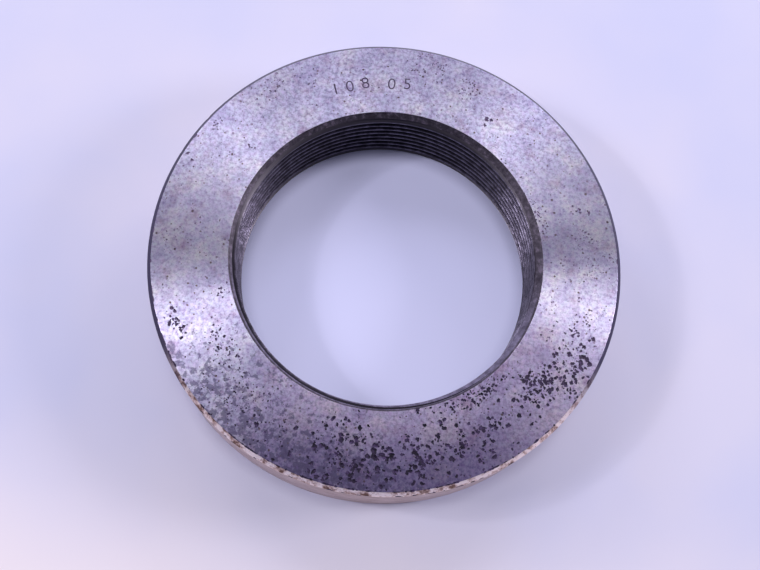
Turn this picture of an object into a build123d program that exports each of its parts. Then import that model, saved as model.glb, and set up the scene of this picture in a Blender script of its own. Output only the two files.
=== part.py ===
"""Solid thread ring gauge for an ISO metric thread, in millimetres.

One piece of hardened steel: a plain ring, bevelled round its outside, with a
right-handed internal thread from face to face and a chamfered mouth at each end.
The origin is the middle of the underside, and +Z runs up the axis of the bore.
"""

from build123d import *
import math
import os

# The thread that the gauge accepts
MAJOR_DIAMETER = 110.0
PITCH = 3.0
FLANK_ANGLE = 60.0  # included angle of the vee
START_ANGLE = 38.0  # where the root of the thread crosses the underside, from +X

# The ring that carries it
OUTER_DIAMETER = 168.0
WIDTH = 30.0
OUTER_BEVEL = 1.4
BEVEL_ANGLE = 45.0

# The mouth of the bore, the same at both ends
MOUTH_RELIEF = 0.8  # how far out past the roots it opens
MOUTH_ANGLE = 45.0

# Basic profile of the thread: flats on the sharp vee, as shares of the pitch
ROOT_FLAT = PITCH / 8
CREST_FLAT = PITCH / 4
HALF_FLANK = math.radians(FLANK_ANGLE / 2)
THREAD_DEPTH = (PITCH - ROOT_FLAT - CREST_FLAT) / 2 / math.tan(HALF_FLANK)
MAJOR_RADIUS = MAJOR_DIAMETER / 2
MINOR_RADIUS = MAJOR_RADIUS - THREAD_DEPTH


def blank():
    """The ring before threading: its section, revolved about the axis."""
    outer_radius = OUTER_DIAMETER / 2
    bevel_height = OUTER_BEVEL / math.tan(math.radians(BEVEL_ANGLE))
    mouth_radius = MAJOR_RADIUS + MOUTH_RELIEF
    mouth_depth = (mouth_radius - MINOR_RADIUS) / math.tan(math.radians(MOUTH_ANGLE))
    section = Polyline(
        (MINOR_RADIUS, 0, mouth_depth),
        (mouth_radius, 0, 0),
        (outer_radius - OUTER_BEVEL, 0, 0),
        (outer_radius, 0, bevel_height),
        (outer_radius, 0, WIDTH - bevel_height),
        (outer_radius - OUTER_BEVEL, 0, WIDTH),
        (mouth_radius, 0, WIDTH),
        (MINOR_RADIUS, 0, WIDTH - mouth_depth),
        close=True,
    )
    return revolve(make_face(section), Axis.Z)


def thread_groove():
    """The vee that the tap cuts, swept up a helix that runs out past both faces."""
    # The vee opens a little past the crests, so that no two surfaces coincide there
    clearance = CREST_FLAT / 4
    inner_radius = MINOR_RADIUS - clearance
    root_half = ROOT_FLAT / 2
    mouth_half = root_half + (MAJOR_RADIUS - inner_radius) * math.tan(HALF_FLANK)
    vee = Polyline(
        (MAJOR_RADIUS, 0, -root_half),
        (MAJOR_RADIUS, 0, root_half),
        (inner_radius, 0, mouth_half),
        (inner_radius, 0, -mouth_half),
        close=True,
    )
    path = Helix(pitch=PITCH, height=WIDTH + 2 * PITCH, radius=MAJOR_RADIUS)
    groove = sweep(make_face(vee), path=path, is_frenet=True)
    return Pos(0, 0, -PITCH) * Rot(0, 0, START_ANGLE) * groove


def gauge_ring():
    """The finished gauge: the blank with the thread cut through it."""
    return blank() - thread_groove()


os.makedirs("parts", exist_ok=True)
export_step(gauge_ring(), "parts/gauge_ring.step")
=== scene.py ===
# %% [markdown]
# # A worn thread ring gauge
#
# The object is one piece of tool steel: a flat ring, 168 mm across and 30 mm thick, with a
# right-handed thread through its bore. An inspector screws it on to a part to check the
# part's thread. This one has had a long life: its ground faces are stained and pitted with
# rust, its edges are nicked, and its figures were punched in by hand.
#
# The ring is made in the same order as in a workshop: the blank, the thread, the stamped
# figures, and then the years of wear. The steels come first, because a cut brings the
# material of its cutter along. Blender measures in metres, so a size in millimetres is
# multiplied by MM.

import math
import random

import bmesh
import bpy
from mathutils import Matrix, Vector, noise


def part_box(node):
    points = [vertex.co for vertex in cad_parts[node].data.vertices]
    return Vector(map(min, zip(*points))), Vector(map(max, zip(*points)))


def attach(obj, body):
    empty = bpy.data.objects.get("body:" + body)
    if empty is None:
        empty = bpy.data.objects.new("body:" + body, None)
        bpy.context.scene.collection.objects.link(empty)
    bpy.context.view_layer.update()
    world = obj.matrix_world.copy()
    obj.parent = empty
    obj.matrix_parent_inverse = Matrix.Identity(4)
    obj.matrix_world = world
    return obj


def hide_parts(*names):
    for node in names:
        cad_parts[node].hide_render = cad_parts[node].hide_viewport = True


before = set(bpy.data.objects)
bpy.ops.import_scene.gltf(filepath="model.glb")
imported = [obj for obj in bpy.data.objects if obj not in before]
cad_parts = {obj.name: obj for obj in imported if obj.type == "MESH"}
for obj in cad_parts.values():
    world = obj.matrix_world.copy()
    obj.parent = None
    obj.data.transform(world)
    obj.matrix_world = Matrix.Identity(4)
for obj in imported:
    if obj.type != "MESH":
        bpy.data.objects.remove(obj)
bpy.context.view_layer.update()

MM = 0.001

# %% [markdown]
# ## Sizes
#
# The outside sizes are read from the frame, so the ring always fills the box that it was
# designed for. The sizes of the thread are the same named values as in the design: a 110 mm
# thread of 3 mm pitch. Inside a ring its crests stand at the minor radius, and its roots
# reach out to the major radius. The vee has 60 degrees, with a flat of an eighth of the
# pitch in its root and a quarter on its crest, so those values give its depth.

# %% Sizes of the ring
node_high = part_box("gauge_ring")[1]
OUTER_RADIUS = node_high.x
WIDTH = node_high.z

MAJOR_RADIUS = 55.0 * MM
PITCH = 3.0 * MM
HALF_FLANK = math.radians(30)
START_ANGLE = math.radians(38)
ROOT_FLAT = PITCH / 8
CREST_FLAT = PITCH / 4
THREAD_DEPTH = (PITCH - ROOT_FLAT - CREST_FLAT) / 2 / math.tan(HALF_FLANK)
MINOR_RADIUS = MAJOR_RADIUS - THREAD_DEPTH
MOUTH_RADIUS = MAJOR_RADIUS + 0.8 * MM
MOUTH_DEPTH = MOUTH_RADIUS - MINOR_RADIUS
OUTER_BEVEL = 1.4 * MM
FACE_RADIUS = OUTER_RADIUS - OUTER_BEVEL
print("outer radius, mm:", round(OUTER_RADIUS / MM, 2), "width, mm:", round(WIDTH / MM, 2))
print("minor radius, mm:", round(MINOR_RADIUS / MM, 3))


# %% [markdown]
# ## Helpers for materials
#
# Colours are written as sRGB hex values, as in a paint program, and one function turns them
# into the linear values that Blender uses. A second one adds a node. Its inputs are numbers,
# or other nodes, whose first output is then linked. A new colour ramp has two stops, so a
# middle stop is listed last and added to them.
#
# Patterns read the place on the ring in metres, so their size is true. It is given in
# millimetres of steel, and becomes the Scale of a noise.

# %% Helpers for materials
def linear(code):
    """An sRGB hex colour as linear RGBA."""
    channels = [int(code[i:i + 2], 16) / 255 for i in (1, 3, 5)]
    return [c / 12.92 if c <= 0.04045 else ((c + 0.055) / 1.055) ** 2.4 for c in channels] + [1]


def add_node(tree, kind, settings=None, inputs=None, stops=None):
    """Add a node with its settings, its inputs, and the stops of a colour ramp."""
    node = tree.nodes.new(kind)
    for key, value in (settings or {}).items():
        setattr(node, key, value)
    for socket, value in (inputs or {}).items():
        if isinstance(value, bpy.types.Node):
            value = value.outputs[0]
        if isinstance(value, bpy.types.NodeSocket):
            tree.links.new(value, node.inputs[socket])
        else:
            node.inputs[socket].default_value = value
    for number, (place, code) in enumerate(stops or []):
        elements = node.color_ramp.elements
        element = elements[number] if number < 2 else elements.new(place)
        element.position = place
        element.color = linear(code)
    return node


def new_material(name):
    """A material with its node tree, its shader and the place of each point on the ring."""
    material = bpy.data.materials.new(name)
    material.use_nodes = True
    tree = material.node_tree
    place = add_node(tree, "ShaderNodeTexCoord").outputs["Object"]
    return material, tree, tree.nodes["Principled BSDF"], place


def size_mm(size):
    """The Scale that makes a pattern's features about this many millimetres wide."""
    return 1 / (size * MM)


SMOOTHLY = {"interpolation_type": "SMOOTHSTEP"}
print("scale of a 9 mm pattern:", round(size_mm(9), 1))


# %% [markdown]
# ## Places and sides of the ring
#
# Wear, and the painted light in the thread, depend on where a spot is on the ring: how far
# from the axis, and on which side. The distance is the length of the place with its height
# taken away. A side is an arrow of length 1 that points out from the axis. The dot product of
# that arrow and a spot's own outward arrow is 1 where the two agree and falls off round the
# ring, so a Map Range turns it into a soft mask. The same few sides are used for the steel,
# the rust and the edges. Most of them mark wear; one marks where light is painted into the
# thread, and two mark where the mouths are paler and the bevels brighter.

# %% Places and sides
def on_ring(radius, degrees, height=0.0):
    """The point at this radius and angle. The angle counts from +X, seen from above."""
    angle = math.radians(degrees)
    return Vector((radius * math.cos(angle), radius * math.sin(angle), height))


def around_axis(tree, place):
    """The arrow out from the axis at a place, and the place's distance from the axis."""
    flat_place = add_node(tree, "ShaderNodeVectorMath", {"operation": "MULTIPLY"}, {0: place, 1: (1, 1, 0)})
    outwards = add_node(tree, "ShaderNodeVectorMath", {"operation": "NORMALIZE"}, {0: flat_place})
    radius = add_node(tree, "ShaderNodeVectorMath", {"operation": "LENGTH"}, {0: flat_place})
    return outwards, radius.outputs["Value"]


def towards_side(tree, outwards, side, start, full, most=1):
    """A soft mask from 0 to most, as the arrow's dot product with a side goes from start to full."""
    facing = add_node(tree, "ShaderNodeVectorMath", {"operation": "DOT_PRODUCT"}, {0: outwards, 1: side})
    return add_node(tree, "ShaderNodeMapRange", SMOOTHLY, {
        "Value": facing.outputs["Value"], "From Min": start, "From Max": full, "To Max": most,
    })


DAMP_SIDE = on_ring(1, 279)
BLOTCHED_SIDE = on_ring(1, 250)
BLOOM_SIDE = on_ring(1, 290)
HANDLED_SIDE = on_ring(1, 95)
# the side where light is painted into the thread's run-out
PAINTED_LIGHT_SIDE = on_ring(1, 95)
PALE_MOUTH_SIDE = on_ring(1, 275)
BRIGHT_BEVEL_SIDE = on_ring(1, 278)
print("damp side:", tuple(round(c, 2) for c in DAMP_SIDE))


# %% [markdown]
# ## The lay of turned steel
#
# A turned or ground surface carries fine lines round the axis, its lay. The lines are about
# a hundredth of a millimetre wide, far too fine to draw. What they do to light can be seen:
# they spread a reflection across themselves, so a lamp shows as a bright wedge on the face.
# The shader does this with Anisotropic and a tangent across the lay. The lay runs round the
# Z axis, so it is the cross product of Z and the place, and the tangent is square to it and
# to the normal.

# %% The lay
def give_lay(tree, shader, place, amount):
    """Stretch the reflections across the turning lines."""
    normal = add_node(tree, "ShaderNodeNewGeometry").outputs["Normal"]
    along = add_node(tree, "ShaderNodeVectorMath", {"operation": "CROSS_PRODUCT"}, {0: (0, 0, 1), 1: place})
    across = add_node(tree, "ShaderNodeVectorMath", {"operation": "CROSS_PRODUCT"}, {0: normal, 1: along})
    tangent = add_node(tree, "ShaderNodeVectorMath", {"operation": "NORMALIZE"}, {0: across})
    tree.links.new(tangent.outputs[0], shader.inputs["Tangent"])
    shader.inputs["Anisotropic"].default_value = amount


FACE_LAY = 0.87
TURNED_LAY = 0.5
print("lay of the ground faces:", FACE_LAY, "and of the turned steel:", TURNED_LAY)

# %% [markdown]
# ## Steel of the ground faces
#
# The two faces are hardened tool steel, ground flat, which is a clean silver grey when new.
# Years of damp hands have clouded them. A painted texture could show that, but only at one
# size and from one distance. So the clouding is built from four patterns that lie over each
# other: soft patches of violet and grey nearly a centimetre wide, pinkish stains, a fine
# grain, and a tint of oxide that is rosy in one place and greenish in the next. The stains
# and the tint read a noise in four dimensions, because another W gives another pattern.

# %% Ground face: clouds and stains
face_steel, tree, shader, place = new_material("ground_face_steel")
clouds = add_node(tree, "ShaderNodeTexNoise", inputs={
    "Vector": place, "Scale": size_mm(9), "Detail": 6, "Roughness": 0.6,
})
tone = add_node(tree, "ShaderNodeValToRGB", inputs={0: clouds}, stops=[
    (0.34, "#c8c4e3"), (0.68, "#f1eef8"), (0.5, "#dfdcf5"),
])
stain = add_node(tree, "ShaderNodeTexNoise", {"noise_dimensions": "4D"}, {
    "Vector": place, "W": 7, "Scale": size_mm(7), "Detail": 5, "Roughness": 0.65,
})
stained = add_node(tree, "ShaderNodeMapRange", SMOOTHLY, {
    "Value": stain, "From Min": 0.5, "From Max": 0.72, "To Max": 0.7,
})
tone = add_node(tree, "ShaderNodeMixRGB", inputs={
    "Fac": stained, "Color1": tone, "Color2": linear("#b79fbb"),
})
print(face_steel.name, "so far:", len(tree.nodes), "nodes")

# %% [markdown]
# The grain and the tint are laid over the clouds by multiplying, as thin coats of ink would
# be: they can only darken, so the clouds still show through them.

# %% Ground face: grain and oxide
grain = add_node(tree, "ShaderNodeTexNoise", inputs={
    "Vector": place, "Scale": size_mm(1.3), "Detail": 4, "Roughness": 0.7,
})
grain_tone = add_node(tree, "ShaderNodeValToRGB", inputs={0: grain}, stops=[
    (0.28, "#a99cbb"), (0.58, "#ffffff"),
])
steel_tone = add_node(tree, "ShaderNodeMixRGB", {"blend_type": "MULTIPLY"}, {
    "Fac": 1, "Color1": tone, "Color2": grain_tone,
})
oxide = add_node(tree, "ShaderNodeTexNoise", {"noise_dimensions": "4D"}, {
    "Vector": place, "W": 3, "Scale": size_mm(2), "Detail": 4, "Roughness": 0.7,
})
oxide_tint = add_node(tree, "ShaderNodeValToRGB", inputs={0: oxide}, stops=[
    (0.36, "#fdf1fb"), (0.64, "#f6fcf8"),
])
steel_tone = add_node(tree, "ShaderNodeMixRGB", {"blend_type": "MULTIPLY"}, {
    "Fac": 1, "Color1": steel_tone, "Color2": oxide_tint,
})
print(face_steel.name, "so far:", len(tree.nodes), "nodes")

# %% [markdown]
# The ring lay for years with one side in the damp, and there a dark bluish film has crept
# over the face. It is strongest where two soft masks overlap: the damp side, and the outer
# part of the face, because the part by the bore was wiped each time that the gauge was used.
# The hands that lifted the ring left a thinner film on the side across from it. The noise of
# the clouds is used again to make the film uneven.
#
# Beside the film the steel has a faint violet bloom. It is so thin that it takes only a
# little green out of the colour.

# %% Ground face: film and bloom
FILM_START = 57 * MM
FILM_FULL = 79 * MM

outwards, radius = around_axis(tree, place)
damp = towards_side(tree, outwards, DAMP_SIDE, 0.66, 0.97)
handled = towards_side(tree, outwards, HANDLED_SIDE, 0.3, 0.9, most=0.35)
outer_part = add_node(tree, "ShaderNodeMapRange", SMOOTHLY, {
    "Value": radius, "From Min": FILM_START, "From Max": FILM_FULL,
})
uneven = add_node(tree, "ShaderNodeMapRange", inputs={
    "Value": clouds, "From Min": 0.3, "From Max": 0.7, "To Min": 0.7, "To Max": 1.25,
})
film = add_node(tree, "ShaderNodeMath", {"operation": "ADD"}, {0: damp, 1: handled})
film = add_node(tree, "ShaderNodeMath", {"operation": "MULTIPLY"}, {0: film, 1: outer_part})
film = add_node(tree, "ShaderNodeMath", {"operation": "MULTIPLY", "use_clamp": True}, {0: film, 1: uneven})
bloom = towards_side(tree, outwards, BLOOM_SIDE, 0.4, 0.85)
bloomed = add_node(tree, "ShaderNodeMixRGB", {"blend_type": "MULTIPLY"}, {
    "Fac": bloom, "Color1": steel_tone, "Color2": linear("#fff3fb"),
})
filmed = add_node(tree, "ShaderNodeMixRGB", {"blend_type": "MULTIPLY"}, {
    "Fac": film, "Color1": bloomed, "Color2": linear("#b0acbf"),
})
print(face_steel.name, "so far:", len(tree.nodes), "nodes")

# %% [markdown]
# Blotches are where drops of water stood and dried. They are the same idea as the film, with
# a sharper edge: a noise of about 2 mm is cut off at a level, and only what rises above it
# shows. The level drops on the blotched side, and more so towards the rim, so more and
# larger blotches show there.

# %% Ground face: blotches
BLOTCH_LEVEL = 0.67
BLOTCH_DROP = 0.14

blotch_noise = add_node(tree, "ShaderNodeTexNoise", inputs={
    "Vector": place, "Scale": size_mm(2.2), "Detail": 4, "Roughness": 0.65,
})
blotchy = towards_side(tree, outwards, BLOTCHED_SIDE, 0.62, 0.97)
rim_share = add_node(tree, "ShaderNodeMapRange", inputs={
    "Value": radius, "From Min": 60 * MM, "From Max": 80 * MM, "To Min": 0.7, "To Max": 1.6,
})
blotchy = add_node(tree, "ShaderNodeMath", {"operation": "MULTIPLY"}, {0: blotchy, 1: rim_share})
blotch_level = add_node(tree, "ShaderNodeMath", {"operation": "MULTIPLY_ADD"}, {
    0: blotchy, 1: -BLOTCH_DROP, 2: BLOTCH_LEVEL,
})
blotch = add_node(tree, "ShaderNodeMath", {"operation": "SUBTRACT"}, {0: blotch_noise, 1: blotch_level})
blotch = add_node(tree, "ShaderNodeMapRange", SMOOTHLY, {
    "Value": blotch, "From Min": 0.0, "From Max": 0.08, "To Max": 0.7,
})
blotched = add_node(tree, "ShaderNodeMixRGB", inputs={
    "Fac": blotch, "Color1": filmed, "Color2": linear("#5f5878"),
})
print(face_steel.name, "so far:", len(tree.nodes), "nodes")

# %% [markdown]
# Brown specks of young rust are scattered over both faces. They are too many to model, and
# too shallow to need it, so they are the cells of a Voronoi pattern. Each cell has a random
# colour. Its red decides whether the cell has a speck and how large it is, and its green
# picks the speck's brown. The grain is added to the distance from the cell's middle, so that
# no speck comes out round. The smallest real specks are a tenth of a millimetre, and these
# are drawn coarser so that they show.

# %% Ground face: specks
RAGGEDNESS = 0.35

cells = add_node(tree, "ShaderNodeTexVoronoi", inputs={"Vector": place, "Scale": size_mm(1.5)})
chance = add_node(tree, "ShaderNodeSeparateColor", inputs={0: cells.outputs["Color"]})
speck_size = add_node(tree, "ShaderNodeMapRange", inputs={
    "Value": chance.outputs["Red"], "From Min": 0.6, "From Max": 1.0, "To Min": 0.0, "To Max": 0.3,
})
speck_edge = add_node(tree, "ShaderNodeMath", {"operation": "MULTIPLY_ADD"}, {
    0: grain, 1: RAGGEDNESS, 2: cells,
})
speck_edge = add_node(tree, "ShaderNodeMath", {"operation": "SUBTRACT"}, {
    0: speck_edge, 1: RAGGEDNESS / 2,
})
speck = add_node(tree, "ShaderNodeMath", {"operation": "LESS_THAN"}, {0: speck_edge, 1: speck_size})
speck_tone = add_node(tree, "ShaderNodeValToRGB", inputs={0: chance.outputs["Green"]}, stops=[
    (0.0, "#5a4854"), (0.7, "#94839f"), (0.4, "#75646f"),
])
specked = add_node(tree, "ShaderNodeMixRGB", inputs={
    "Fac": speck, "Color1": blotched, "Color2": speck_tone,
})
tree.links.new(specked.outputs[0], shader.inputs["Base Color"])
print(face_steel.name, "so far:", len(tree.nodes), "nodes")

# %% [markdown]
# A ground face is satin, and corrosion dulls it a little more in the dark grains. The same
# grain drives the gloss and a faint relief, so that colour, shine and surface agree. The
# relief is a twentieth of a millimetre deep, which is too little for geometry. Real etching
# is finer than the 1.3 mm of this grain, and is drawn coarser so that it shows.

# %% Ground face: gloss and relief
dull = add_node(tree, "ShaderNodeMapRange", inputs={
    "Value": grain, "From Min": 0.3, "From Max": 0.7, "To Min": 0.48, "To Max": 0.38,
})
tree.links.new(dull.outputs[0], shader.inputs["Roughness"])
relief = add_node(tree, "ShaderNodeBump", inputs={"Strength": 0.5, "Distance": 0.05 * MM, "Height": grain})
tree.links.new(relief.outputs[0], shader.inputs["Normal"])
shader.inputs["Metallic"].default_value = 1
give_lay(tree, shader, place, FACE_LAY)
print(face_steel.name, "finished:", len(tree.nodes), "nodes")

# %% [markdown]
# ## Steel of the thread
#
# The thread was cut with a tool, hardened and lapped, so it is steel with a lay too. Its
# colour goes from light on the crests to nearly black at the roots of the grooves. That is
# painted shade, the shade that the crests cast into the grooves, together with black oil. The
# two could be two materials, but the radius alone tells them apart, and a noise of 3 mm lets
# the oil creep up a flank here and there. Old oil is not a metal, so the steel under it is a
# little less metallic.

# %% Thread: oil and painted shade in the grooves
OIL_CONTRAST = 1.25
OIL_SHIFT = -0.55

thread_steel, tree, shader, place = new_material("thread_steel_oil_and_painted_shade")
outwards, radius = around_axis(tree, place)
# painted shade: darker from the crests to the roots of the grooves
depth = add_node(tree, "ShaderNodeMapRange", inputs={
    "Value": radius, "From Min": MINOR_RADIUS, "From Max": MAJOR_RADIUS,
})
oil = add_node(tree, "ShaderNodeTexNoise", inputs={
    "Vector": place, "Scale": size_mm(3), "Detail": 5, "Roughness": 0.75,
})
oil_and_painted_shade = add_node(tree, "ShaderNodeMath", {"operation": "MULTIPLY_ADD"}, {
    0: oil, 1: OIL_CONTRAST, 2: OIL_SHIFT,
})
oil_and_painted_shade = add_node(tree, "ShaderNodeMath", {"operation": "ADD"}, {0: depth, 1: oil_and_painted_shade})
tone = add_node(tree, "ShaderNodeValToRGB", inputs={0: oil_and_painted_shade}, stops=[
    (0.0, "#6a6378"), (0.45, "#221e28"), (0.15, "#494354"),
])
dull = add_node(tree, "ShaderNodeMapRange", inputs={"Value": oil_and_painted_shade, "To Min": 0.38, "To Max": 0.6})
tree.links.new(dull.outputs[0], shader.inputs["Roughness"])
shader.inputs["Metallic"].default_value = 0.9
give_lay(tree, shader, place, TURNED_LAY)
print(thread_steel.name, "so far:", len(tree.nodes), "nodes")

# %% [markdown]
# In the last groove before each mouth a paler grey is painted in. It is painted light: it
# lightens the groove where it lies in shade, on the far side at 95 degrees and not on the
# damp side. The distance from the middle of the ring's width finds both ends at once.

# %% Thread: painted light in the run-out
PAINTED_LIGHT_START = WIDTH / 2 - MOUTH_DEPTH - 2.0 * MM
PAINTED_LIGHT_FULL = WIDTH / 2 - MOUTH_DEPTH - 0.8 * MM

height = add_node(tree, "ShaderNodeSeparateXYZ", inputs={0: place}).outputs["Z"]
from_middle = add_node(tree, "ShaderNodeMath", {"operation": "SUBTRACT"}, {0: height, 1: WIDTH / 2})
from_middle = add_node(tree, "ShaderNodeMath", {"operation": "ABSOLUTE"}, {0: from_middle})
run_out = add_node(tree, "ShaderNodeMapRange", SMOOTHLY, {
    "Value": from_middle, "From Min": PAINTED_LIGHT_START, "From Max": PAINTED_LIGHT_FULL,
})
painted_light_mask = towards_side(tree, outwards, PAINTED_LIGHT_SIDE, -0.1, 0.5)
painted_light_in_groove = add_node(tree, "ShaderNodeMath", {"operation": "MULTIPLY"}, {0: run_out, 1: painted_light_mask})
# painted light: a paler grey in the run-out groove, where the groove lies in shade
tone = add_node(tree, "ShaderNodeMixRGB", inputs={
    "Fac": painted_light_in_groove, "Color1": tone, "Color2": linear("#625c68"),
})
tree.links.new(tone.outputs[0], shader.inputs["Base Color"])
print(thread_steel.name, "finished:", len(tree.nodes), "nodes")

# %% [markdown]
# ## Steel of the mouths
#
# The chamfers at the two ends of the bore lead a screw in. They were turned and never ground,
# and they keep the dark, dull skin of old oil. On the side at 275 degrees the inner part of
# the chamfer is paler. The paler part uses the same noise with lighter colours, so its
# mottling goes on without a seam.

# %% Mouth
PALE_START = MOUTH_RADIUS - 0.5 * MM
PALE_FULL = MOUTH_RADIUS - 0.8 * MM

mouth_steel, tree, shader, place = new_material("oily_mouth_steel")
outwards, radius = around_axis(tree, place)
oil = add_node(tree, "ShaderNodeTexNoise", inputs={
    "Vector": place, "Scale": size_mm(2), "Detail": 5, "Roughness": 0.7,
})
tone = add_node(tree, "ShaderNodeValToRGB", inputs={0: oil}, stops=[
    (0.35, "#352d3b"), (0.74, "#82748c"), (0.52, "#4d4653"),
])
paler_tone = add_node(tree, "ShaderNodeValToRGB", inputs={0: oil}, stops=[
    (0.35, "#544d62"), (0.7, "#9389a6"), (0.52, "#766e88"),
])
inner_part = add_node(tree, "ShaderNodeMapRange", SMOOTHLY, {
    "Value": radius, "From Min": PALE_START, "From Max": PALE_FULL,
})
# paler on the side at 275 degrees, in the inner part of the chamfer
paler_part = towards_side(tree, outwards, PALE_MOUTH_SIDE, 0.0, 0.5)
paler_part = add_node(tree, "ShaderNodeMath", {"operation": "MULTIPLY"}, {0: paler_part, 1: inner_part})
tone = add_node(tree, "ShaderNodeMixRGB", inputs={
    "Fac": paler_part, "Color1": tone, "Color2": paler_tone,
})
tree.links.new(tone.outputs[0], shader.inputs["Base Color"])
shader.inputs["Metallic"].default_value = 0.7
shader.inputs["Roughness"].default_value = 0.55
print(mouth_steel.name, "finished:", len(tree.nodes), "nodes")

# %% [markdown]
# ## Steel of the outer wall
#
# The wall was turned on a lathe, and hands have browned it a little: a warm grey with fine
# lines round it and rusty patches that follow the lines. Both patterns are drawn in a space
# that is stretched in height, because a noise that changes faster along Z makes bands round
# the wall. The real lines are a few hundredths of a millimetre apart. These are about half a
# millimetre, so that they show, and a slight bump goes with them.

# %% Wall
PATCH_STRETCH = (1, 1, 3)
LINE_STRETCH = (1, 1, 25)

wall_steel, tree, shader, place = new_material("browned_wall_steel")
squeezed = add_node(tree, "ShaderNodeVectorMath", {"operation": "MULTIPLY"}, {0: place, 1: PATCH_STRETCH})
patches = add_node(tree, "ShaderNodeTexNoise", inputs={
    "Vector": squeezed, "Scale": size_mm(8), "Detail": 6, "Roughness": 0.7,
})
tone = add_node(tree, "ShaderNodeValToRGB", inputs={0: patches}, stops=[
    (0.34, "#94796d"), (0.62, "#d6c3c3"), (0.43, "#bfaaa7"),
])
thin = add_node(tree, "ShaderNodeVectorMath", {"operation": "MULTIPLY"}, {0: place, 1: LINE_STRETCH})
lines = add_node(tree, "ShaderNodeTexNoise", inputs={
    "Vector": thin, "Scale": size_mm(12), "Detail": 3, "Roughness": 0.6,
})
line_tone = add_node(tree, "ShaderNodeValToRGB", inputs={0: lines}, stops=[
    (0.3, "#cfcacf"), (0.6, "#ffffff"),
])
tone = add_node(tree, "ShaderNodeMixRGB", {"blend_type": "MULTIPLY"}, {
    "Fac": 1, "Color1": tone, "Color2": line_tone,
})
tree.links.new(tone.outputs[0], shader.inputs["Base Color"])
relief = add_node(tree, "ShaderNodeBump", inputs={"Strength": 0.4, "Distance": 0.05 * MM, "Height": lines})
tree.links.new(relief.outputs[0], shader.inputs["Normal"])
shader.inputs["Metallic"].default_value = 1
shader.inputs["Roughness"].default_value = 0.42
give_lay(tree, shader, place, TURNED_LAY)
print(wall_steel.name, "finished:", len(tree.nodes), "nodes")

# %% [markdown]
# ## Steel of the bevels
#
# The bevels above and below the wall take every knock. On the front side, at 278 degrees,
# they are bright metal, with brown patches between the bright ones. Round the back they are
# a dark grey. They are the smoothest steel, so they are the shiniest of all the surfaces.

# %% Bevel
bevel_steel, tree, shader, place = new_material("bevel_steel_bright_at_front")
outwards = add_node(tree, "ShaderNodeVectorMath", {"operation": "NORMALIZE"}, {0: place})
# bright on the front side, dark round the back
bright_front = towards_side(tree, outwards, BRIGHT_BEVEL_SIDE, 0.4, 0.66)
rusting = add_node(tree, "ShaderNodeTexNoise", inputs={
    "Vector": place, "Scale": size_mm(3), "Detail": 5, "Roughness": 0.7,
})
bright = add_node(tree, "ShaderNodeValToRGB", inputs={0: rusting}, stops=[
    (0.39, "#7d6258"), (0.56, "#fff0ee"), (0.46, "#ccb0a9"),
])
tone = add_node(tree, "ShaderNodeMixRGB", inputs={
    "Fac": bright_front, "Color1": linear("#4d475b"), "Color2": bright,
})
tree.links.new(tone.outputs[0], shader.inputs["Base Color"])
shader.inputs["Metallic"].default_value = 1
shader.inputs["Roughness"].default_value = 0.28
print(bevel_steel.name, "finished:", len(tree.nodes), "nodes")

# %% [markdown]
# ## Rust
#
# The scale at the bottom of a pit is iron oxide and no longer a metal. It is nearly black,
# with a hint of violet, and rough enough to swallow the light. Away from the damp side the
# pits are young and dry, and their rust is paler.

# %% Rust
rust, tree, shader, place = new_material("black_rust_scale")
crust = add_node(tree, "ShaderNodeTexNoise", inputs={
    "Vector": place, "Scale": size_mm(2), "Detail": 4, "Roughness": 0.7,
})
tone = add_node(tree, "ShaderNodeValToRGB", inputs={0: crust}, stops=[
    (0.38, "#150e1f"), (0.64, "#54426c"), (0.5, "#291d39"),
])
outwards = add_node(tree, "ShaderNodeVectorMath", {"operation": "NORMALIZE"}, {0: place})
dry = towards_side(tree, outwards, DAMP_SIDE, 0.8, -0.1, most=0.7)
tone = add_node(tree, "ShaderNodeMixRGB", inputs={
    "Fac": dry, "Color1": tone, "Color2": linear("#6d5a7c"),
})
tree.links.new(tone.outputs[0], shader.inputs["Base Color"])
shader.inputs["Roughness"].default_value = 0.85
shader.inputs["Specular IOR Level"].default_value = 0.35
print(rust.name, "finished:", len(tree.nodes), "nodes")


# %% [markdown]
# ## Helpers for shapes
#
# Every piece starts as a bmesh and ends as an object at the origin, with its place in its
# mesh. A cut is a Boolean modifier with the Manifold solver, which is fast and keeps the
# mesh closed. Its Transfer mode lets the cutter bring its own material, so the inside of a
# pit can be rust while the face round it stays steel.

# %% Helpers for shapes
def flat_face(bm, points):
    """One face in the XZ plane from (radius, height) points."""
    return bm.faces.new([bm.verts.new((radius, 0, height)) for radius, height in points])


def finished_object(name, bm, *materials):
    """Turn a bmesh into an object at the origin, with its normals outwards."""
    bmesh.ops.recalc_face_normals(bm, faces=bm.faces)
    mesh = bpy.data.meshes.new(name)
    bm.to_mesh(mesh)
    bm.free()
    for material in materials:
        mesh.materials.append(material)
    made = bpy.data.objects.new(name, mesh)
    bpy.context.scene.collection.objects.link(made)
    return made


def cut(target, cutter):
    """Take the cutter out of the target. The new faces get the cutter's material."""
    boolean = target.modifiers.new("cut", "BOOLEAN")
    boolean.object = cutter
    boolean.operation = "DIFFERENCE"
    boolean.solver = "MANIFOLD"
    boolean.material_mode = "TRANSFER"
    depsgraph = bpy.context.evaluated_depsgraph_get()
    result = bpy.data.meshes.new_from_object(target.evaluated_get(depsgraph))
    target.modifiers.clear()
    target.data = result
    bpy.data.objects.remove(cutter)
    print("faces after the cut:", len(result.polygons))


MERGE = 0.001 * MM
print("corners closer than this are merged, m:", MERGE)

# %% [markdown]
# ## The blank
#
# A lathe makes the ring from a bar, so the natural operator is a spin. The section is drawn
# once as a flat face in the XZ plane: down the bore, along the underside, up the outside and
# back over the top. Its corners are rounded a little before the spin, because no real edge
# is perfectly sharp. Long edges are divided, so that the faces stay small.

# %% Draw the section
EDGE_ROUND = 0.12 * MM
LONGEST_EDGE = 5 * MM

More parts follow.
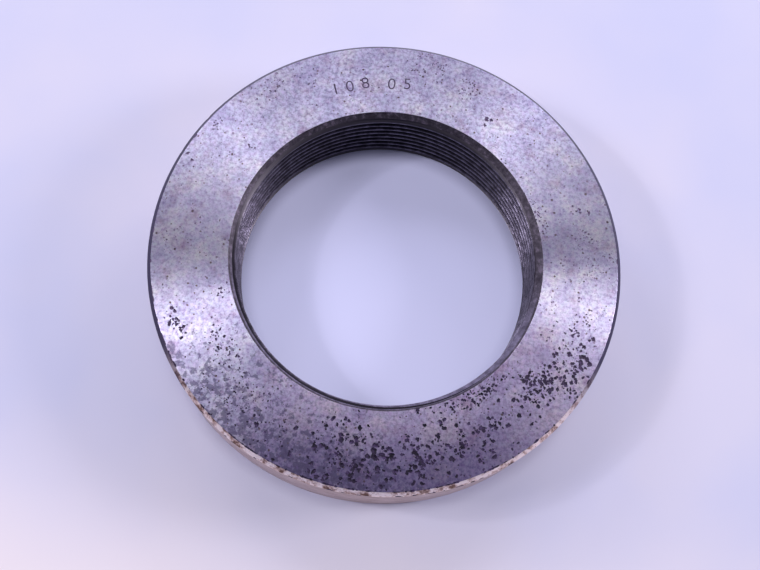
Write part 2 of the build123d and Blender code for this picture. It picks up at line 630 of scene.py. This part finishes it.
bm = bmesh.new()
flat_face(bm, [
    (MINOR_RADIUS, MOUTH_DEPTH),
    (MOUTH_RADIUS, 0),
    (FACE_RADIUS, 0),
    (OUTER_RADIUS, OUTER_BEVEL),
    (OUTER_RADIUS, WIDTH - OUTER_BEVEL),
    (FACE_RADIUS, WIDTH),
    (MOUTH_RADIUS, WIDTH),
    (MINOR_RADIUS, WIDTH - MOUTH_DEPTH),
])
bmesh.ops.bevel(
    bm, geom=bm.verts[:], offset=EDGE_ROUND, offset_type="OFFSET", affect="VERTICES",
    segments=2, profile=0.5, material=-1,
)
for edge in bm.edges[:]:
    pieces = round(edge.calc_length() / LONGEST_EDGE)
    if pieces > 1:
        bmesh.ops.subdivide_edges(bm, edges=[edge], cuts=pieces - 1)
section = bm.edges[:]
bmesh.ops.delete(bm, geom=bm.faces[:], context="FACES_ONLY")
print("edges in the section:", len(section))

# %% [markdown]
# One full spin would do, but a spin slows down as the mesh grows. So an eighth of the ring
# is spun, then copied and turned three times, which doubles it each time. The seams where
# the eighths meet are merged last.

# %% Turn the blank
EIGHTH_STEPS = 45

bmesh.ops.spin(
    bm, geom=section, cent=(0, 0, 0), axis=(0, 0, 1), dvec=(0, 0, 0),
    angle=math.tau / 8, steps=EIGHTH_STEPS, use_merge=False, use_duplicate=False,
)
for parts in (8, 4, 2):
    copied = bmesh.ops.duplicate(bm, geom=bm.verts[:] + bm.edges[:] + bm.faces[:])["geom"]
    bmesh.ops.rotate(
        bm, cent=(0, 0, 0), matrix=Matrix.Rotation(math.tau / parts, 3, "Z"),
        verts=[item for item in copied if isinstance(item, bmesh.types.BMVert)],
    )
bmesh.ops.remove_doubles(bm, verts=bm.verts[:], dist=MERGE)
print("faces round the ring:", len(bm.faces))

# %% [markdown]
# The materials follow the surfaces of the section. A face's direction and radius say which
# surface it belongs to: the ground faces look up or down, the bore and the wall look
# sideways, and the mouths and bevels lie between.

# %% Give each surface its steel
FACE, THREAD, MOUTH, WALL, BEVEL = range(5)
MIDDLE_RADIUS = (MOUTH_RADIUS + OUTER_RADIUS) / 2
LEVEL, UPRIGHT = 0.9, 0.1

bmesh.ops.recalc_face_normals(bm, faces=bm.faces)
for face in bm.faces:
    inside = face.calc_center_median().xy.length < MIDDLE_RADIUS
    steepness = abs(face.normal.z)
    if steepness > LEVEL:
        face.material_index = FACE
    elif steepness < UPRIGHT:
        face.material_index = THREAD if inside else WALL
    else:
        face.material_index = MOUTH if inside else BEVEL
ring = finished_object("ring_gauge", bm, face_steel, thread_steel, mouth_steel, wall_steel, bevel_steel)
print("blank faces:", len(ring.data.polygons))

# %% [markdown]
# ## The thread
#
# A single-point tool cuts the thread while the ring turns and the tool moves on by one pitch
# a turn. The spin operator does the same when it is given a step along the axis. One turn of
# the vee is spun, its copies are stacked a pitch apart and merged, and the coil's two ends
# are closed. It opens a little past the crests, so that no two surfaces coincide there.

# %% Wind the coil
THREAD_STEPS = 240
TURNS = round(WIDTH / PITCH) + 2
VEE_RADIUS = MINOR_RADIUS - CREST_FLAT / 4
VEE_HALF_MOUTH = ROOT_FLAT / 2 + (MAJOR_RADIUS - VEE_RADIUS) * math.tan(HALF_FLANK)

bm = bmesh.new()
vee = flat_face(bm, [
    (MAJOR_RADIUS, -ROOT_FLAT / 2),
    (MAJOR_RADIUS, ROOT_FLAT / 2),
    (VEE_RADIUS, VEE_HALF_MOUTH),
    (VEE_RADIUS, -VEE_HALF_MOUTH),
])
section = list(vee.edges)
bmesh.ops.delete(bm, geom=[vee], context="FACES_ONLY")
bmesh.ops.spin(
    bm, geom=section, cent=(0, 0, 0), axis=(0, 0, 1), dvec=(0, 0, PITCH / THREAD_STEPS),
    angle=math.tau, steps=THREAD_STEPS, use_merge=False, use_duplicate=False,
)
one_turn = bm.verts[:] + bm.edges[:] + bm.faces[:]
for turn in range(1, TURNS):
    copied = bmesh.ops.duplicate(bm, geom=one_turn)["geom"]
    bmesh.ops.translate(
        bm, vec=(0, 0, turn * PITCH),
        verts=[item for item in copied if isinstance(item, bmesh.types.BMVert)],
    )
bmesh.ops.remove_doubles(bm, verts=bm.verts[:], dist=MERGE)
bmesh.ops.holes_fill(bm, edges=[edge for edge in bm.edges if edge.is_boundary], sides=4)
print("faces of the coil:", len(bm.faces), "in", TURNS, "turns")

# %% [markdown]
# The coil starts a turn below the ring and ends a turn above it, so the thread runs out past
# both faces and ends where it meets the chamfered mouths, as a real one does.

# %% Cut the thread
bmesh.ops.translate(bm, vec=(0, 0, -PITCH), verts=bm.verts[:])
bmesh.ops.rotate(bm, cent=(0, 0, 0), matrix=Matrix.Rotation(START_ANGLE, 3, "Z"), verts=bm.verts[:])
cut(ring, finished_object("tap", bm, thread_steel))

# %% [markdown]
# ## Stamped figures
#
# The figures give the thread's pitch diameter in millimetres. They were struck one at a time
# with hand punches, so each one leans a little and sits a little high or low. A text curve
# for each figure is made a mesh first, and only then turned and moved to its place on an arc
# round the bore, with its top outwards. A negative offset thins its strokes to those of a
# punch. The figures could be a bump, but a struck figure has real depth, so they are cut.

# %% Stamp the figures
random.seed(4)
FIGURES = "108.05"
FIGURE_SIZE = 6.6 * MM
FIGURE_DEPTH = 0.3 * MM
STROKE_THINNING = 0.05 * MM
FIGURE_RADIUS = 65.6 * MM
FIRST_ANGLE = 118.5
FIGURE_STEP, POINT_STEP = 4.9, 3.6
UNEVEN_STEP, UNEVEN_HEIGHT, UNEVEN_LEAN = 0.3, 0.4, 6

angle = FIRST_ANGLE
bm = bmesh.new()
for figure in FIGURES:
    half_step = (POINT_STEP if figure == "." else FIGURE_STEP) / 2
    punch = bpy.data.curves.new("punch", "FONT")
    punch.body = figure
    punch.size = FIGURE_SIZE
    punch.align_x = "CENTER"
    punch.extrude = FIGURE_DEPTH
    punch.offset = -STROKE_THINNING
    struck = bpy.data.objects.new("punch", punch)
    mesh = bpy.data.meshes.new_from_object(struck)
    angle -= half_step + random.uniform(-UNEVEN_STEP, UNEVEN_STEP)
    radius = FIGURE_RADIUS + random.uniform(-UNEVEN_HEIGHT, UNEVEN_HEIGHT) * MM
    lean = math.radians(angle - 90 + random.uniform(-UNEVEN_LEAN, UNEVEN_LEAN))
    mesh.transform(Matrix.Translation(on_ring(radius, angle, WIDTH)) @ Matrix.Rotation(lean, 4, "Z"))
    bm.from_mesh(mesh)
    bpy.data.objects.remove(struck)
    angle -= half_step
bmesh.ops.remove_doubles(bm, verts=bm.verts[:], dist=MERGE)
print("open edges in the punches:", sum(not edge.is_manifold for edge in bm.edges))
cut(ring, finished_object("punches", bm, rust))

# %% [markdown]
# ## Lumpy blobs
#
# Rust eats round spots out of steel, and where spots meet they run together into ragged
# patches. So a pit is a small flattened ball with a lumpy outline, sunk into the face. There
# are well over a thousand pits, so the ball has few faces. It is made once with an operator
# and then copied, which is far quicker than making each one, and a noise pushes the corners
# of each copy in and out.

# %% A lumpy blob
LUMP_SCALE = 1.7
VARIETY = 50

bm = bmesh.new()
bmesh.ops.create_uvsphere(bm, u_segments=9, v_segments=4, radius=0.5)
bmesh.ops.triangulate(bm, faces=bm.faces[:])
plain_ball = bpy.data.meshes.new("plain_ball")
bm.to_mesh(plain_ball)
bm.free()
print("faces of one blob:", len(plain_ball.polygons))


def lumpy_blob(place, across, along, deep, lumps):
    """A ball with these three sizes and a random outline, moved to its place."""
    blob = plain_ball.copy()
    variety = Vector((random.uniform(-VARIETY, VARIETY), 0, 0))
    for vert in blob.vertices:
        lump = 1 + lumps * noise.noise(vert.co.normalized() * LUMP_SCALE + variety)
        vert.co = vert.co * lump * Vector((across, along, deep))
    blob.transform(place)
    return blob


# %% [markdown]
# The Manifold solver can't take a cutter that runs through itself, and blobs that meet would
# make one. So the blobs are sorted into layers in which none touch, and each layer is cut in
# turn. A dozen or so cuts then do the work of nearly two thousand.

# %% Cut blobs in layers
def cut_blobs(target, blobs, material):
    """Cut (centre, reach, mesh) blobs out of the target, a layer at a time."""
    layers = []
    for centre, reach, blob in blobs:
        for layer in layers:
            if all((centre - other).length > reach + far for other, far, _ in layer):
                layer.append((centre, reach, blob))
                break
        else:
            layers.append([(centre, reach, blob)])
    for layer in layers:
        cutter = bmesh.new()
        for _, _, blob in layer:
            cutter.from_mesh(blob)
        cut(target, finished_object("blobs", cutter, material))
    print("blobs:", len(blobs), "in layers:", len(layers))


# %% [markdown]
# ## Rust pits
#
# Pits come in clumps of one to four, and the clumps lie in patches. A patch says where its
# clumps are, by an angle and a radius with their spreads, how many there are, and how large
# the pits get. Most pits are near the smallest size, because a random share is squared.
#
# The damp side is the thickest with pits, and the blotched side has many fine ones. The
# mouth has a fine row where oil and water met. The rest of the face has a thin scatter, with
# a few single pits and close groups that catch the eye.

# %% Where the pits lie
PATCHES = [
    # angle, its spread, radius and its spread in mm, clumps, smallest and largest pit in mm
    # the damp side
    (274, 20, 71.5, 10, 165, 0.5, 2.1),
    (305, 14, 71, 9, 95, 0.5, 1.9),
    (328, 6, 69, 5, 85, 0.5, 1.8),
    (309, 12, 59, 2, 80, 0.4, 1.2),
    (338, 9, 75, 6, 60, 0.5, 1.8),
    (342.4, 0.5, 78.4, 0.3, 1, 2.0, 2.4),
    # the blotched side
    (240, 14, 73, 8, 120, 0.3, 0.9),
    (208, 6, 77, 3, 22, 0.5, 1.6),
    (222, 9, 65, 5, 44, 0.4, 1.2),
    # the end of the damp side, the mouth, and the scatter on the rest of the face
    (348, 9, 71, 8, 40, 0.3, 1.0),
    (28, 16, 57.1, 0.5, 26, 0.4, 0.9),
    (87, 4, 77, 4, 18, 0.4, 0.9),
    (74, 3, 73.5, 3, 10, 0.4, 1.0),
    (40, 20, 68, 9, 22, 0.3, 0.8),
    (10, 12, 74, 7, 24, 0.3, 0.9),
    (130, 24, 74, 7, 20, 0.3, 0.8),
    (172, 16, 74, 7, 26, 0.3, 0.8),
    # close groups near the rim
    (122, 2, 75, 2, 6, 0.5, 1.0),
    (135, 4, 77.5, 2, 8, 0.5, 1.0),
    (150, 2, 79, 1, 4, 0.7, 1.4),
    (17, 3, 72, 3, 12, 0.4, 1.0),
    # single pits and small groups
    (64.4, 0.5, 65, 0.4, 2, 1.3, 1.8),
    (50.4, 0.2, 68.7, 0.2, 1, 0.9, 1.1),
    (24.2, 1, 71.4, 0.8, 3, 0.9, 1.4),
    (75.6, 2, 70, 2, 6, 0.5, 0.9),
    (163.2, 0.5, 80.4, 0.4, 2, 1.2, 1.6),
    (149.8, 0.6, 63.6, 1, 3, 0.8, 1.2),
    (204, 1.5, 58.8, 1, 8, 0.6, 1.1),
    (338.4, 1, 79, 1, 3, 1.2, 1.6),
    (332, 1, 79.2, 1, 3, 1.0, 1.4),
    (346, 1, 70.4, 1.2, 4, 0.8, 1.3),
    # a last thin scatter, and the largest pits of the damp side
    (6, 5, 72, 9, 16, 0.3, 0.7),
    (190, 8, 68, 8, 14, 0.3, 0.8),
    (289, 6, 70, 10, 30, 0.8, 1.9),
]
print("patches:", len(PATCHES), "with clumps:", sum(patch[4] for patch in PATCHES))

# %% [markdown]
# The spreads are drawn from a bell curve and kept inside the flat of the face. A pit is a
# little longer than it is wide and turned any way. Its middle is just above the face, so it
# opens like a dish, with no wall that hangs over.

# %% Eat the pits
random.seed(21)
PIT_INNER_LIMIT, PIT_OUTER_LIMIT = 57, 81
SPREAD_SHARE = 0.6
CLUMP_SIZES = (1, 1, 1, 2, 4)
CLUMP_SPREAD = 1.1
PIT_STRETCHES = (0.8, 1.3)
PIT_DEEP = 0.6
PIT_RAISED = 0.08
PIT_LUMPS = 0.7

pits = []
for angle, angle_spread, radius, radius_spread, clumps, small, large in PATCHES:
    for _ in range(clumps):
        clump_radius = random.gauss(radius, radius_spread * SPREAD_SHARE)
        clump_radius = min(max(clump_radius, PIT_INNER_LIMIT), PIT_OUTER_LIMIT) * MM
        clump = on_ring(clump_radius, random.gauss(angle, angle_spread * SPREAD_SHARE), WIDTH)
        for _ in range(random.choice(CLUMP_SIZES)):
            size = (small + (large - small) * random.random() ** 2) * MM
            aside = Vector((random.gauss(0, CLUMP_SPREAD), random.gauss(0, CLUMP_SPREAD), 0)) * MM
            stretch = random.uniform(*PIT_STRETCHES)
            centre = clump + aside + Vector((0, 0, PIT_RAISED * size))
            turned = Matrix.Translation(centre) @ Matrix.Rotation(random.uniform(0, math.tau), 4, "Z")
            blob = lumpy_blob(turned, size * stretch, size / stretch, size * PIT_DEEP, PIT_LUMPS)
            pits.append((centre, size, blob))
cut_blobs(ring, pits, rust)

# %% [markdown]
# ## Nicks
#
# The bevel round the top was knocked against other tools. Its nicks are the same blobs, but
# longer than they are wide, and they follow the edge. Two in three are on the bevel's upper
# edge and the rest on its lower one, and most are on the front side, where the bevel is bright.

# %% Nicks in the bevel
random.seed(8)
NICKS = 110
NICK_ANGLE, NICK_SPREAD = 255, 45
NICK_LENGTHS = (0.6, 3.2)
NICK_WIDTHS = (0.4, 1.0)
NICK_DEEP = 0.7
NICK_LUMPS = 0.6
UPPER_EDGE = (FACE_RADIUS, WIDTH)
LOWER_EDGE = (OUTER_RADIUS, WIDTH - OUTER_BEVEL)

nicks = []
for _ in range(NICKS):
    angle = random.gauss(NICK_ANGLE, NICK_SPREAD)
    length = random.uniform(*NICK_LENGTHS) * MM
    across = random.uniform(*NICK_WIDTHS) * MM
    edge_radius, height = random.choice((UPPER_EDGE, UPPER_EDGE, LOWER_EDGE))
    centre = on_ring(edge_radius, angle, height)
    turned = Matrix.Translation(centre) @ Matrix.Rotation(math.radians(angle), 4, "Z")
    nicks.append((centre, length, lumpy_blob(turned, across, length, across * NICK_DEEP, NICK_LUMPS)))
cut_blobs(ring, nicks, rust)

# %% [markdown]
# ## Finish the ring
#
# Smooth shading rounds the turned surfaces, and every edge that turns by more than 8 degrees
# is marked sharp. The ground faces are flat and the pits are rough, so both keep flat
# shading. Smooth shading there would bend the reflections round each pit.

# %% Smooth shading
SHARP_CORNER = math.radians(8)

mesh = ring.data
mesh.shade_smooth()
mesh.set_sharp_from_angle(angle=SHARP_CORNER)
bm = bmesh.new()
bm.from_mesh(mesh)
flat_materials = (face_steel, rust)
for face in bm.faces:
    face.smooth = mesh.materials[face.material_index] not in flat_materials
print("materials:", [material.name for material in mesh.materials])
print("open edges in the ring:", sum(not edge.is_manifold for edge in bm.edges))
print("triangles:", sum(len(face.verts) - 2 for face in bm.faces))
bm.to_mesh(mesh)
bm.free()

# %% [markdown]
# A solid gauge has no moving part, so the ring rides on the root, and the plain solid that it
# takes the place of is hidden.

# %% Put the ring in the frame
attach(ring, "root")
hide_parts("gauge_ring")

# %% [markdown]
# ## Paper
#
# The ring lies on a sheet of pale lavender paper. Its colour changes slowly: soft creases, a
# painted pool of warm light nearest the viewer, and a painted bluish shade inside the bore,
# which only the light from straight above can reach. Each is a soft mask again, from a noise,
# from the distance towards the viewer, and from the distance to the axis.

# %% Colour of the paper
FLOOR_SIZE = 6

bpy.ops.mesh.primitive_plane_add(size=FLOOR_SIZE)
floor = bpy.context.object
floor.name = "floor"
paper, tree, shader, place = new_material("pale_paper")
creases = add_node(tree, "ShaderNodeTexNoise", inputs={
    "Vector": place, "Scale": size_mm(90), "Detail": 3, "Roughness": 0.5,
})
tone = add_node(tree, "ShaderNodeValToRGB", inputs={0: creases}, stops=[
    (0.35, "#c9c8ea"), (0.65, "#d3cee9"),
])
nearness = add_node(tree, "ShaderNodeSeparateXYZ", inputs={0: place}).outputs["Y"]
# painted warm light on the paper nearest the viewer
painted_warm_light = add_node(tree, "ShaderNodeMapRange", SMOOTHLY, {
    "Value": nearness, "From Min": -60 * MM, "From Max": -160 * MM, "To Max": 0.9,
})
tone = add_node(tree, "ShaderNodeMixRGB", inputs={
    "Fac": painted_warm_light, "Color1": tone, "Color2": linear("#f6e7ee"),
})
distance = add_node(tree, "ShaderNodeVectorMath", {"operation": "LENGTH"}, {0: place}).outputs["Value"]
# painted bluish shade on the paper inside the bore
painted_bore_shade = add_node(tree, "ShaderNodeMapRange", SMOOTHLY, {
    "Value": distance, "From Min": 50 * MM, "From Max": 75 * MM, "To Min": 0.8, "To Max": 0,
})
tone = add_node(tree, "ShaderNodeMixRGB", inputs={
    "Fac": painted_bore_shade, "Color1": tone, "Color2": linear("#d1d1fa"),
})
tree.links.new(tone.outputs[0], shader.inputs["Base Color"])
shader.inputs["Roughness"].default_value = 0.9
shader.inputs["Specular IOR Level"].default_value = 0.1
print(paper.name, "so far:", len(tree.nodes), "nodes")

# %% [markdown]
# Lamps strong enough to make the paper this pale would burn out the steel. So part of the
# paper's brightness is its own, but only in what the camera sees and the steel mirrors, and
# it lights nothing else. That part grows with the distance, so the paper keeps its colour as
# far as the horizon. It fades out close to the ring's wall, where the paper keeps the dark
# line of a contact shadow.

# %% Light of the paper
WALL_MIDDLE = (MINOR_RADIUS + OUTER_RADIUS) / 2

rays = add_node(tree, "ShaderNodeLightPath")
seen = add_node(tree, "ShaderNodeMath", {"operation": "MAXIMUM"}, {
    0: rays.outputs["Is Camera Ray"], 1: rays.outputs["Is Glossy Ray"],
})
share = add_node(tree, "ShaderNodeMapRange", SMOOTHLY, {
    "Value": distance, "From Min": 250 * MM, "From Max": 900 * MM, "To Min": 0.4, "To Max": 1,
})
from_wall = add_node(tree, "ShaderNodeMath", {"operation": "SUBTRACT"}, {0: distance, 1: WALL_MIDDLE})
from_wall = add_node(tree, "ShaderNodeMath", {"operation": "ABSOLUTE"}, {0: from_wall})
open_paper = add_node(tree, "ShaderNodeMapRange", SMOOTHLY, {
    "Value": from_wall, "From Min": 14 * MM, "From Max": 21 * MM, "To Min": 0.1, "To Max": 1,
})
own_light = add_node(tree, "ShaderNodeMath", {"operation": "MULTIPLY"}, {0: seen, 1: share})
own_light = add_node(tree, "ShaderNodeMath", {"operation": "MULTIPLY"}, {0: own_light, 1: open_paper})
glow = add_node(tree, "ShaderNodeEmission", inputs={"Color": tone})
mixed = add_node(tree, "ShaderNodeMixShader", inputs={0: own_light, 1: shader, 2: glow})
tree.links.new(mixed.outputs[0], tree.nodes["Material Output"].inputs["Surface"])
floor.data.materials.append(paper)
print(paper.name, "finished:", len(tree.nodes), "nodes")

# %% [markdown]
# ## Camera
#
# The camera looks down at the top face from a third of a metre above it and a little in
# front, close enough for the near side to look larger than the far one. It is held a little
# crooked, so a roll about its own axis comes first, then the tilt, then the move to its
# place.

# %% Camera
LENS = 46.35
SENSOR = 36
NEAREST = 10 * MM
CAMERA_PLACE = Vector((-0.5 * MM, -113.9 * MM, 327.0 * MM + WIDTH))
CAMERA_TILT = math.radians(90 - 72.62)
CAMERA_ROLL = math.radians(10.23)

camera_data = bpy.data.cameras.new("camera")
camera_data.sensor_width = SENSOR
camera_data.lens = LENS
camera_data.clip_start = NEAREST
camera = bpy.data.objects.new("camera", camera_data)
bpy.context.scene.collection.objects.link(camera)
tilt = Matrix.Rotation(CAMERA_TILT, 4, "X")
roll = Matrix.Rotation(CAMERA_ROLL, 4, "Z")
camera.matrix_world = Matrix.Translation(CAMERA_PLACE) @ tilt @ roll
bpy.context.scene.camera = camera
print("camera above the top face, mm:", round((CAMERA_PLACE.z - WIDTH) / MM))

# %% [markdown]
# ## Light
#
# Steel shows what stands round it, so the room matters as much as the lamps. The world is a
# room that is brightest near the horizon, where its windows and walls are, and dim
# overhead. What the camera sees past the paper is a plain lavender at full strength, which
# puts no light on the ring.

# %% Room
HORIZON, OVERHEAD = 0.08, 0.4
HORIZON_STRENGTH, OVERHEAD_STRENGTH = 0.64, 0.12

world = bpy.data.worlds.new("room")
bpy.context.scene.world = world
world.use_nodes = True
tree = world.node_tree
background = tree.nodes["Background"]
direction = add_node(tree, "ShaderNodeTexCoord").outputs["Generated"]
upwards = add_node(tree, "ShaderNodeSeparateXYZ", inputs={0: direction}).outputs["Z"]
fading = add_node(tree, "ShaderNodeMapRange", SMOOTHLY, {
    "Value": upwards, "From Min": HORIZON, "From Max": OVERHEAD,
    "To Min": HORIZON_STRENGTH, "To Max": OVERHEAD_STRENGTH,
})
rays = add_node(tree, "ShaderNodeLightPath")
strength = add_node(tree, "ShaderNodeMath", {"operation": "MAXIMUM"}, {
    0: fading, 1: rays.outputs["Is Camera Ray"],
})
colour = add_node(tree, "ShaderNodeMixRGB", inputs={
    "Fac": rays.outputs["Is Camera Ray"], "Color1": linear("#d9dbff"), "Color2": linear("#dad2f0"),
})
tree.links.new(colour.outputs[0], background.inputs["Color"])
tree.links.new(strength.outputs[0], background.inputs["Strength"])
print("nodes in the room:", len(tree.nodes))

# %% [markdown]
# Seven square lamps stand 1.2 m away, like windows and ceiling lights. On a face with a
# round lay each lamp shows as a wedge across the ring, and the wedge's width follows the
# lamp's size. The two at the sides give the brightest wedges. A small core in the left one
# puts a hot line down the middle of its wedge, as a bare tube would. The other four stand
# behind, overlap, and keep the far half of the face evenly bright.

# %% Lamps
LAMP_DISTANCE = 1.2
SIDE_LIGHT, LEFT_LIGHT, CORE_LIGHT, BACK_LIGHT = "#fbf9fa", "#fbfafb", "#fffeff", "#f5f6fb"
LAMPS = [
    # name, direction, size in metres, power in watts, colour
    ("right", (0.86, 0.22, 0.46), 0.28, 8.6, SIDE_LIGHT),
    ("left", (-0.71, -0.13, 0.68), 0.24, 4.8, LEFT_LIGHT),
    ("left_core", (-0.72, -0.05, 0.69), 0.06, 2.0, CORE_LIGHT),
    ("back_right", (0.38, 0.79, 0.47), 0.3, 3.7, BACK_LIGHT),
    ("back_left", (-0.6, 0.63, 0.56), 0.3, 4.2, BACK_LIGHT),
    ("back", (-0.22, 0.68, 0.7), 0.3, 2.1, BACK_LIGHT),
    ("far_back", (0.1, 0.8, 0.6), 0.5, 3.2, BACK_LIGHT),
]

for name, direction, size, power, colour in LAMPS:
    data = bpy.data.lights.new(name, "AREA")
    data.shape = "SQUARE"
    data.size = size
    data.energy = power
    data.color = linear(colour)[:3]
    lamp = bpy.data.objects.new(name, data)
    lamp.location = Vector(direction).normalized() * LAMP_DISTANCE
    lamp.rotation_euler = Vector(direction).to_track_quat("Z", "Y").to_euler()
    bpy.context.scene.collection.objects.link(lamp)
print("lamps:", len(LAMPS), "with", round(sum(lamp[3] for lamp in LAMPS), 1), "W in all")

# %% [markdown]
# ## View transform
#
# Standard view transform keeps the colours as they were written.

# %% View transform
bpy.context.scene.view_settings.view_transform = "Standard"
